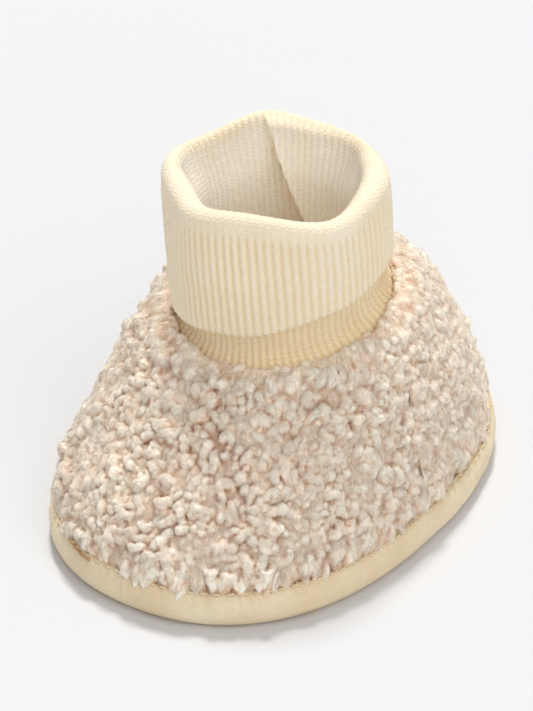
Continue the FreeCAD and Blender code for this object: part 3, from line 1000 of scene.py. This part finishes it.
def combed_fibres(label, grid, surface, surface_normals, combed, tone, share, weights, rng):
    """Fibres that lie along the curls, in several pieces."""
    rises, points, normals, by_col, by_row = grid
    rows, cols = points.shape[:2]
    area = np.linalg.norm(np.cross(by_col, by_row), axis=-1).sum()
    count = int(N_FIBRES * area / PILE_AREA)
    start = rng.choice(rows * cols, count, p=weights)
    row = (start // cols) + rng.uniform(-0.5, 0.5, count)
    col = (start % cols) + rng.uniform(-0.5, 0.5, count)
    stride = rng.uniform(0.35, 0.75, count)
    bend = rng.normal(0.0, 0.28, count)
    offset = rng.uniform(-0.02, 0.09, count)
    lift = (np.abs(rng.normal(0.0, 0.15, count))        # a few fibres stand up further
            + 0.55 * (rng.uniform(0, 1, count) < 0.06) * rng.uniform(0.2, 1.0, count))
    flip = np.sign(rng.uniform(-0.35, 1, count))[:, None]
    last = None
    centres, shares, across = [], [], []
    for along in FIBRE_U:
        up = unit(sample(surface_normals, row, col))
        centres.append(sample(surface, row, col)
                       + up * (offset + 0.02 + lift * along ** 2)[:, None])
        # fibres take the painted shade share of the curls under them
        shares.append(sample(share, row, col))
        across.append(up)
        way = sample(combed, row, col) * flip
        if last is not None:
            way = unit(0.45 * unit(way) + 0.55 * last)
        way = unit(way)
        turned = np.cross(unit(sample(normals, row, col)), way)
        way = unit(np.cos(bend)[:, None] * way + np.sin(bend)[:, None] * turned)
        last = way
        # turn the step in mm into steps of columns and rows
        tan_col, tan_row = sample(by_col, row, col), sample(by_row, row, col)
        col_col, col_row = (tan_col * tan_col).sum(-1), (tan_col * tan_row).sum(-1)
        row_row = (tan_row * tan_row).sum(-1)
        way_col, way_row = (tan_col * way).sum(-1), (tan_row * way).sum(-1)
        det = np.maximum(col_col * row_row - col_row * col_row, 1e-9)
        col_step = np.clip(stride * (row_row * way_col - col_row * way_row) / det, -6, 6)
        row_step = np.clip(stride * (col_col * way_row - col_row * way_col) / det, -6, 6)
        col = np.clip(col + col_step, 0, cols - 1.01)
        row = np.clip(row + row_step, 0, rows - 1.01)
    centres, shares = np.stack(centres, 1), np.stack(shares, 1)
    across = np.stack(across, 1)[:, :FIBRE_RINGS]
    hang = 1 - smooth(rises[start // cols], 0.0, 0.05)
    centres[..., 2] -= (hang * rng.uniform(0.0, 1.3, count))[:, None] * FIBRE_U ** 1.5
    centres[..., 2] = np.maximum(centres[..., 2], LOWEST_FIBRE)
    radii = FIBRE_R * (1 - 0.35 * FIBRE_U[:-1]) * rng.uniform(0.65, 1.35, (count, 1))
    chance = rng.uniform(0, 1, count)
    pieces = int(math.ceil(count / FIBRES_PER_PIECE))
    for i, part in enumerate(np.array_split(np.arange(count), pieces)):
        values = {"rnd": chance[part], "clump": tone[start[part]]}
        ob = hairs(f"fleece_{label}_fibres_{i + 1}", centres[part], radii[part], across[part],
                   values, shares[part])
        finish(ob, MAT_PILE)


def loose_fibres(label, surface, surface_normals, weights, rng):
    """Single hairs that stand out."""
    start = rng.choice(len(weights), N_LOOSE, p=weights)
    root, up = surface.reshape(-1, 3)[start], surface_normals.reshape(-1, 3)[start]
    along = FIBRE_U[None, :]
    way = unit(up + 0.9 * rng.standard_normal((N_LOOSE, 3)))
    length = rng.uniform(0.7, 2.0, N_LOOSE)
    sag = rng.standard_normal((N_LOOSE, 3)) * 0.6
    centres = (root[:, None, :] + way[:, None, :] * (length[:, None] * along)[..., None]
               + sag[:, None, :] * (along ** 2)[..., None])
    centres[..., 2] = np.maximum(centres[..., 2], LOWEST_FIBRE)
    radii = np.tile(0.040 * (1 - 0.4 * FIBRE_U[:-1]), (N_LOOSE, 1))
    across = np.repeat(unit(rng.standard_normal((N_LOOSE, 1, 3))), FIBRE_RINGS, axis=1)
    values = {"rnd": rng.uniform(0, 1, N_LOOSE), "clump": np.full(N_LOOSE, 0.7)}
    ob = hairs(f"fleece_{label}_loose_fibres", centres, radii, across, values,
               0.6 + 0.4 * FIBRE_U)
    finish(ob, MAT_PILE)


def pile_half(label, front, rng):
    """Curled surface, combed fibres and loose fibres of one half of the fleece."""
    grid = pile_grid(front)
    rises, points, normals, by_col, by_row = grid
    rows, cols = points.shape[:2]
    area = np.linalg.norm(np.cross(by_col, by_row), axis=-1)
    weights = (area / area.sum()).ravel()
    flat, flat_normals = points.reshape(-1, 3), normals.reshape(-1, 3)
    balls = curl_balls(flat, flat_normals, np.repeat(rises, cols), weights, rng)
    tops, combed, tone = ball_cover(flat, flat_normals, *balls, rng)
    height, share = pile_relief(tops.reshape(rows, cols), points, normals)
    surface = points + normals * height[..., None] + edge_tufts(points, rng)
    surface[..., 2] = np.maximum(surface[..., 2], 3.2)
    # u carries the painted shade share, low in the hollows between curls
    attributes = {"u": share, "clump": tone.reshape(rows, cols), "rnd": np.full((rows, cols), 0.5)}
    half = cols // 2
    for i, part in enumerate((slice(0, half + 1), slice(half, cols))):
        piece = surface[:, part]
        ob = grid_object(f"fleece_{label}_curls_{i + 1}", piece, np.zeros(piece.shape[:2] + (2,)),
                         close=False,
                         attributes={key: value[:, part] for key, value in attributes.items()})
        finish(ob, MAT_CURL)
    surface_normals = unit(np.cross(np.gradient(surface, axis=1), np.gradient(surface, axis=0)))
    surface_normals *= np.sign((surface_normals * normals).sum(-1, keepdims=True))
    combed_fibres(label, grid, surface, surface_normals, combed.reshape(rows, cols, 3), tone,
                  share, weights, rng)
    loose_fibres(label, surface, surface_normals, weights, rng)


backing("fleece_vamp_backing", True, "fleece_vamp")
backing("fleece_quarter_backing", False, "fleece_quarter")
PILE_RNG = np.random.default_rng(2024)
pile_half("vamp", True, PILE_RNG)
pile_half("quarter", False, PILE_RNG)

# ---------------------------------------------------------------- rib cuff
N_RIB = 84
CUFF_COLS = N_RIB * 10
THETA = TAU * np.arange(CUFF_COLS) / CUFF_COLS - math.pi / 2       # starts at the toe side
HEM = 1.3                               # height of the flap's folded lower edge
RIM_ROLL, TURN_IN = 2.9, 3.0            # height of the roll over the rim, length turned inside
FACE_ROWS, ROLL_ROWS, IN_ROWS = 26, 8.5, 3      # knitted courses on the three parts

# height of the rim above its mean, mm
RIM_WAVE = periodic_curve(
    [-165, -135, -105, -75, -45, -15, 15, 45, 75, 105, 135, 165],
    [0.31, 2.8, -0.3, 1.88, 0.39, -2.8, -0.02, 0.19, -2.57, -1.14, 1.73, -1.6], 9)
# outward bulge of the rim in plan, mm
RIM_PLAN = periodic_curve(
    [-170, -145, -120, -95, -70, -45, -20, 5, 30, 55, 80, 105, 130, 155],
    [0.65, 0.03, -1.14, 0.47, -0.57, -0.15, 1.26, -0.14, 0.68, -0.67, 0.77, -0.08, 0.67, -0.74],
    10)
# thickness of the fold at the rim, as a share of the full wall
RIM_THICK = periodic_curve(
    [-160, -120, -80, -40, -5, 25, 50, 75, 105, 135, 165],
    [0.686, 1.106, 0.866, 0.767, 0.827, 1.083, 1.019, 0.40, 0.90, 0.693, 0.564], 8)
# how far the ribs still show over the fold
RIM_STROKES = periodic_curve([-150, -100, -50, 0, 50, 100, 130, 160, 180],
                             [0.5, 0.0, 0.0, 0.0, 0.0, 0.25, 0.6, 1.0, 1.0], 5)
RIM_Z = CUFF_TOP + RIM_WAVE(THETA)
COLLAR_PLANE = COLLAR_Z + COLLAR_TILT * CUFF_RY * np.sin(THETA)
NECK_FOOT = COLLAR_PLANE - 2.9
# lower edge of the flap
EDGE_Z = (50.8 + 0.20 * CUFF_RX * np.cos(THETA) + 0.10 * CUFF_RY * np.sin(THETA)
          + 0.35 * np.sin(3 * THETA + 1.0) + 0.2 * np.sin(7 * THETA))


def wall_at(depth):
    """Distance from the outside to the inside of the tube, at a depth below the rim."""
    share = RIM_THICK(THETA)
    return WALL * (share + (1 - share) * smooth(depth, 2.0, 13.0))


def cuff_xyz(theta, z, offset):
    """Point of the tube, with soft dents that grow towards the rim."""
    dent = (RIM_PLAN(theta) * smooth(z, 47.0, 74.0)
            + 0.30 * ring_noise(theta, 2.2, z / 14.0, seed=91))
    x = (CUFF_RX + offset + dent) * np.cos(theta)
    y = cuff_y(z) + (CUFF_RY + offset + dent) * np.sin(theta)
    return np.stack([x, y, z], -1)


def rib_wave(theta, z):
    """0 in a valley, 1 on a ridge."""
    warp = 0.006 * ring_noise(theta, 9, z / 9.0, seed=95)
    return (0.5 + 0.5 * np.cos(N_RIB * (theta + warp))) ** 0.65


def rib_surface(name, z, offset, raised, course, shift, pale=None):
    """Profile rows swept round the tube, with ribs raised along the surface normal."""
    theta = np.broadcast_to(THETA, z.shape)
    points = cuff_xyz(theta, z, offset) + shift
    normals = unit(np.cross(np.roll(points, -1, 1) - np.roll(points, 1, 1),
                            np.gradient(points, axis=0)))
    rib = rib_wave(theta, z)
    fine = 0.05 * ring_noise(theta, 60, z / 0.9, seed=97)
    points = points + normals * ((rib - 0.5) * raised + fine)[..., None]
    rib_count = (THETA + math.pi / 2) / TAU * N_RIB + 0 * z - 0.5
    uv = np.stack([rib_count, course + 0 * rib_count], -1)
    # colour share of the rib height, for the painted shade in the rib valleys
    attributes = {"rib": 0.88 + (rib - 0.88) * np.clip(raised / 0.30, 0.12, 1.0)}
    if pale is not None:
        attributes["pale"] = pale
    return grid_object(name, points, uv, attributes=attributes)


def inner_crease(z, offset):
    """Shift of the folds on the inside of the tube, which fade out over the rim."""
    depth = RIM_Z - z
    inside = smooth(-offset / wall_at(depth), 0.70, 0.99)
    deep = smooth(depth, 0.5, 12.0)
    down = np.clip(depth / 26.0, 0, 1)
    # one sharp step, then two soft hollows
    gap = wrap(np.radians(134.5) - np.radians(32.0) * down ** 1.75 - THETA)
    step = (smooth(gap, np.radians(-0.5), np.radians(3.0))
            * np.exp(-np.maximum(gap, 0) / np.radians(30.0)))
    gap = wrap(THETA - (np.radians(-170.0) + np.radians(14.0) * down))
    wide = np.exp(-(gap / np.radians(13.0)) ** 2)
    narrow = np.exp(-(wrap(THETA - np.radians(62.0)) / np.radians(10.0)) ** 2)
    push = inside * ((1.7 + 2.9 * deep) * step + 1.3 * deep * wide + 0.8 * deep * narrow)
    return -push[..., None] * np.stack([np.cos(THETA), np.sin(THETA), 0 * THETA], -1)


def flap():
    """Turned-down flap, from its inner ply round the lower edge, up and over the rim."""
    hem_z, roll_z = EDGE_Z + HEM, RIM_Z - RIM_ROLL
    rows = []                           # (z, offset, rib height, course)
    # inner ply, hidden against the neck
    for part in np.linspace(1, 0, 6):
        rows.append((hem_z + part * 6.0, -2.35, 0.18, -4 - 6 * part))
    # folded lower edge
    for turn in np.linspace(0, math.pi, 12):
        rows.append((hem_z - HEM * math.sin(turn),
                     -1.18 - 1.17 * math.cos(turn) + 0.25 * smooth(turn, 1.6, 3.1),
                     0.24 + 0.06 * turn / math.pi, -3.6 + 3.6 * turn / math.pi))
    # outer face
    for part in np.linspace(0, 1, 62)[1:]:
        bulge = 0.25 * (1 - smooth(part, 0.0, 0.35)) + 0.25 * math.sin(math.pi * part) ** 1.5
        raised = 0.30 + 0.14 * smooth(part, 0.0, 0.15) - 0.38 * smooth(part, 0.85, 1.0)
        rows.append((hem_z + part * (roll_z - hem_z), bulge, raised, part * FACE_ROWS))
    # roll over the rim
    half_fold = RIM_THICK(THETA) * WALL / 2
    toe_fade = 1 - 0.85 * smooth(-np.sin(THETA), 0.0, 0.8)
    for turn in np.linspace(0, math.pi, 26)[1:]:
        raised = (0.05 + 0.24 * max(0.0, -math.cos(turn)) ** 1.2 * toe_fade
                  + 0.12 * RIM_STROKES(THETA) * math.sin(turn))
        rows.append((roll_z + RIM_ROLL * math.sin(turn), half_fold * (math.cos(turn) - 1),
                     raised, FACE_ROWS + turn / math.pi * ROLL_ROWS))
    # short length down the inside
    for part in np.linspace(0, 1, 9)[1:]:
        rows.append((roll_z - part * TURN_IN, -wall_at(RIM_ROLL + part * TURN_IN), 0.30,
                     FACE_ROWS + ROLL_ROWS + IN_ROWS * part))
    z, offset, raised, course = np.array(
        [[np.broadcast_to(value, CUFF_COLS) for value in row] for row in rows]).swapaxes(0, 1)
    # pale marks the painted light on the inner side of the roll and down the inside
    ob = rib_surface("cuff_turndown_knit", z, offset, raised, course, inner_crease(z, offset),
                     pale=smooth(course, 31.5, 35.0))
    finish(ob, MAT_RIB, "cuff_turndown", body="cuff")


def neck_inner_ply():
    """From the length turned inside the rim down to the collar seam."""
    top = RIM_Z - (RIM_ROLL + TURN_IN)
    part = np.linspace(0, 1, 70)[:, None]
    z = top + (NECK_FOOT - top) * part
    offset = -wall_at(RIM_Z - z) + 1.5 * smooth(part, 0.86, 1.0)
    course = FACE_ROWS + ROLL_ROWS + IN_ROWS + part * 26
    ob = rib_surface("cuff_neck_inner_ply", z, offset, 0.30, course, inner_crease(z, offset))
    finish(ob, MAT_INSIDE, "cuff_neck", bend=(47.0, 64.0))


def neck_outer_ply():
    """Seen under the flap; flares and widens at the collar seam."""
    part = np.linspace(0, 1, 74)[:, None]
    z = NECK_FOOT + (RIM_Z - 7.5 - NECK_FOOT) * part
    rise = z - COLLAR_PLANE
    flare = 1.5 * (1 - smooth(rise, -2.5, 3.2)) + 0.9 * (1 - smooth(rise, -3.0, 0.8))
    widen = np.zeros(z.shape + (3,))
    widen[..., 0] = np.cos(THETA) * 1.1 * (1 - smooth(rise, -2.6, 1.2))
    ob = rib_surface("cuff_neck_outer_ply", z, -(FLAP_T + FLAP_CLEAR) - 0.15 + flare, 0.34,
                     part * 28, widen)
    finish(ob, MAT_NECK, bend=(48.0, 64.0))


flap()
neck_inner_ply()
neck_outer_ply()


# ---------------------------------------------------------------- stitching
def sew(name, node, path, normals, *, pitch, fill, lift, dip, radius, seed, slant=0.0):
    """Separate stitches along a closed path.

    fill is the stitch's share of the pitch; it arches up by lift and its ends sink by dip.
    """
    rng = np.random.default_rng(seed)
    path, normals = np.vstack([path, path[:1]]), np.vstack([normals, normals[:1]])
    run = np.r_[0, np.cumsum(np.linalg.norm(np.diff(path, axis=0), axis=1))]
    count = int(round(run[-1] / pitch))
    start = (np.arange(count) + rng.uniform(-0.08, 0.08, count)) * run[-1] / count
    part = np.linspace(0, 1, 7)
    place = (start[:, None] + part * pitch * fill) % run[-1]
    points, up = (np.stack([np.interp(place, run, column) for column in field.T], -1)
                  for field in (path, normals))
    up = unit(up)
    arch = np.sin(math.pi * part)
    height = lift * arch ** 0.6 - dip * (1 - arch ** 0.5)
    side = unit(np.cross(up, np.gradient(points, axis=1)))
    points = points + up * height[:, None] + side * (slant * (part - 0.5))[:, None]
    ob = tubes(name, points, radius * (0.75 + 0.25 * arch))
    finish(ob, MAT_THREAD, node)


def ring_path(offset, z, outward, upward):
    """Closed path round the outline, with normals mixed from outward and upward."""
    angles = TAU * np.arange(900) / 900
    x, y = outline_xy(angles, offset)
    plan = outline_normal(angles) * outward
    normals = np.stack([plan[:, 0], plan[:, 1], np.full(900, float(upward))], -1)
    return np.stack([x, y, np.full(900, z)], -1), unit(normals)


def collar_path():
    """Tilted ring between the neck and the fleece."""
    angles = TAU * np.arange(700) / 700
    z = COLLAR_Z - 1.3
    reach = -22.95 * np.cos(angles)
    path = np.stack([21.95 * np.sin(angles), cuff_y(z) + reach, z + COLLAR_TILT * reach], -1)
    return path, unit(np.stack([np.sin(angles), -np.cos(angles), 0 * angles + 0.9], -1))


def seam_rows():
    sew("sole_seam_stitches", "sole_seam_thread", *ring_path(-0.85, SEAM_LEVEL, 1, 0.9),
        pitch=2.7, fill=0.78, lift=0.10, dip=0.75, radius=0.24, seed=4)
    sew("outsole_seam_stitches", "outsole_seam_thread", *ring_path(-1.75, 0.85, 1, -0.5),
        pitch=2.4, fill=0.72, lift=0.25, dip=0.5, radius=0.22, seed=5)
    sew("insole_seam_stitches", "insole_seam_thread", *ring_path(-6.7, 7.5, -1, 1.0),
        pitch=2.6, fill=0.7, lift=0.16, dip=0.3, radius=0.18, seed=6)
    sew("collar_seam_stitches", "collar_seam_thread", *collar_path(),
        pitch=1.9, fill=0.85, lift=0.15, dip=0.35, radius=0.2, seed=7, slant=0.9)


def sole_gap_shadow():
    """Painted shadow: three thick dark-brown stitches in the sole seam beside the toe, for the
    shadowed gap where the fleece lifts off the band.
    """
    part = np.linspace(-1, 1, 7)
    bars = []
    for i, span in enumerate(((-0.375, -0.315), (-0.325, -0.255), (-0.262, -0.190))):
        x, y = outline_xy(np.linspace(*span, 7), -0.62 + 0.18 * i + 0.35 * (1 - part ** 2))
        z = 8.55 - 0.22 * i - 0.10 * part + 0.25 * (1 - part ** 2)
        bars.append(np.stack([x, y, z], -1))
    finish(tubes("sole_seam_gap_shadow", np.array(bars), 0.28), MAT_GAP_SHADOW)


def side_seam(name, node, inset, inset_top, rises, radius, lift, facing):
    """Short bars across both side seams; facing is 1 for outside and -1 for inside."""
    search = np.linspace(0.25 * math.pi, 0.8 * math.pi, 1200)
    part = np.linspace(-1, 1, 5)
    bars = []
    for rise in np.linspace(*rises, 19):
        angle = seam_angle(rise, inset, inset_top, angles=search)
        point, normal = upper_frame(angle, rise, inset, inset_top)
        bar = point + np.stack([0 * part, 1.1 * part, 0.35 * part], -1)
        bar = bar + normal * (lift + 0.3 * (1 - part ** 2))[:, None] * facing
        bars += [bar, bar * np.array([-1, 1, 1])]
    finish(tubes(name, np.array(bars), radius), MAT_THREAD, node)


def cuff_tube_seam():
    """The rib tube's own seam, inside the wall at the heel side."""
    part = np.linspace(-1, 1, 5)
    bars = []
    for z in np.linspace(50.0, 63.5, 9):
        y = cuff_y(z) + CUFF_RY - (FLAP_T + FLAP_CLEAR) - 1.25
        bars.append(np.stack([0.75 * part, y - 0.15 * part ** 2, z + 0.55 * part], -1))
    ob = tubes("cuff_tube_seam_stitches", np.array(bars), 0.22)
    finish(ob, MAT_THREAD, "cuff_tube_seam_thread", bend=(47.0, 64.0))


seam_rows()
sole_gap_shadow()
side_seam("fleece_side_seam_stitches", "fleece_side_seam_threads", inset=ROOT_IN + 0.1,
          inset_top=ROOT_IN_TOP + 0.1, rises=(0.06, 0.93), radius=0.2, lift=0.15, facing=1)
side_seam("lining_side_seam_stitches", "lining_side_seam_threads", inset=7.25,
          inset_top=4.45, rises=(0.05, 0.84), radius=0.17, lift=-0.1, facing=-1)
cuff_tube_seam()

# ---------------------------------------------------------------- floor, light, camera
FLOOR_HALF = 3.0                        # metres
WORLD_STRENGTH = 0.50
# name, azimuth and elevation in degrees, strength, angular size in degrees
SUNS = [("key_softbox", 215.0, 70.0, 2.10, 11.0), ("fill_softbox", 58.0, 44.0, 1.10, 60.0)]
CAMERA_AZIMUTH, CAMERA_ELEVATION = 35.5, 33.9
CAMERA_DISTANCE = 0.900                 # metres
CAMERA_AIM = Vector((-0.01048, 0.009755, 0.0))
CAMERA_LENS, SENSOR_WIDTH = 289.229268, 36.0    # mm
CAMERA_SHIFT_Y = 0.170731707            # share of the frame width


def direction(azimuth, elevation):
    """Unit vector towards a place in the sky: azimuth 0 is -Y and 90 is +X."""
    turn, lift = math.radians(azimuth), math.radians(elevation)
    return Vector((math.sin(turn) * math.cos(lift), -math.cos(turn) * math.cos(lift),
                   math.sin(lift)))


def place_facing(name, data, towards, location):
    """Object with its back to the given direction, so it looks the opposite way."""
    ob = bpy.data.objects.new(name, data)
    bpy.context.scene.collection.objects.link(ob)
    ob.rotation_euler = towards.to_track_quat("Z", "Y").to_euler()
    ob.location = location
    return ob


def floor():
    half = FLOOR_HALF
    mesh = bpy.data.meshes.new("studio_floor")
    mesh.from_pydata([(-half, -half, 0), (half, -half, 0), (half, half, 0), (-half, half, 0)],
                     [], [(0, 1, 2, 3)])
    ob = bpy.data.objects.new("studio_floor", mesh)
    bpy.context.scene.collection.objects.link(ob)
    mat = Mat("pale_floor")
    mat.set(Base_Color=srgb(214, 214, 215), Roughness=0.9, Specular_IOR_Level=0.0)
    mesh.materials.append(mat.material)


def lights():
    world = bpy.data.worlds.new("studio")
    bpy.context.scene.world = world
    world.use_nodes = True
    background = world.node_tree.nodes["Background"]
    background.inputs["Color"].default_value = (1.0, 1.0, 1.0, 1.0)
    background.inputs["Strength"].default_value = WORLD_STRENGTH
    for name, azimuth, elevation, strength, size in SUNS:
        sun = bpy.data.lights.new(name, "SUN")
        sun.energy = strength
        sun.angle = math.radians(size)
        towards = direction(azimuth, elevation)
        place_facing(name, sun, towards, towards * 2)


def camera():
    data = bpy.data.cameras.new("camera")
    towards = direction(CAMERA_AZIMUTH, CAMERA_ELEVATION)
    ob = place_facing("camera", data, towards, CAMERA_AIM + towards * CAMERA_DISTANCE)
    data.sensor_fit = "HORIZONTAL"
    data.sensor_width = SENSOR_WIDTH
    data.lens = CAMERA_LENS
    data.shift_y = CAMERA_SHIFT_Y
    data.clip_start, data.clip_end = 0.05, 20.0
    bpy.context.scene.camera = ob


def render_settings():
    cycles = bpy.context.scene.cycles
    cycles.max_bounces, cycles.diffuse_bounces, cycles.transmission_bounces = 20, 12, 12
    view = bpy.context.scene.view_settings
    view.view_transform = "Standard"
    view.look = "None"
    view.exposure = 0.0
    view.gamma = 1.0


floor()
lights()
camera()
render_settings()
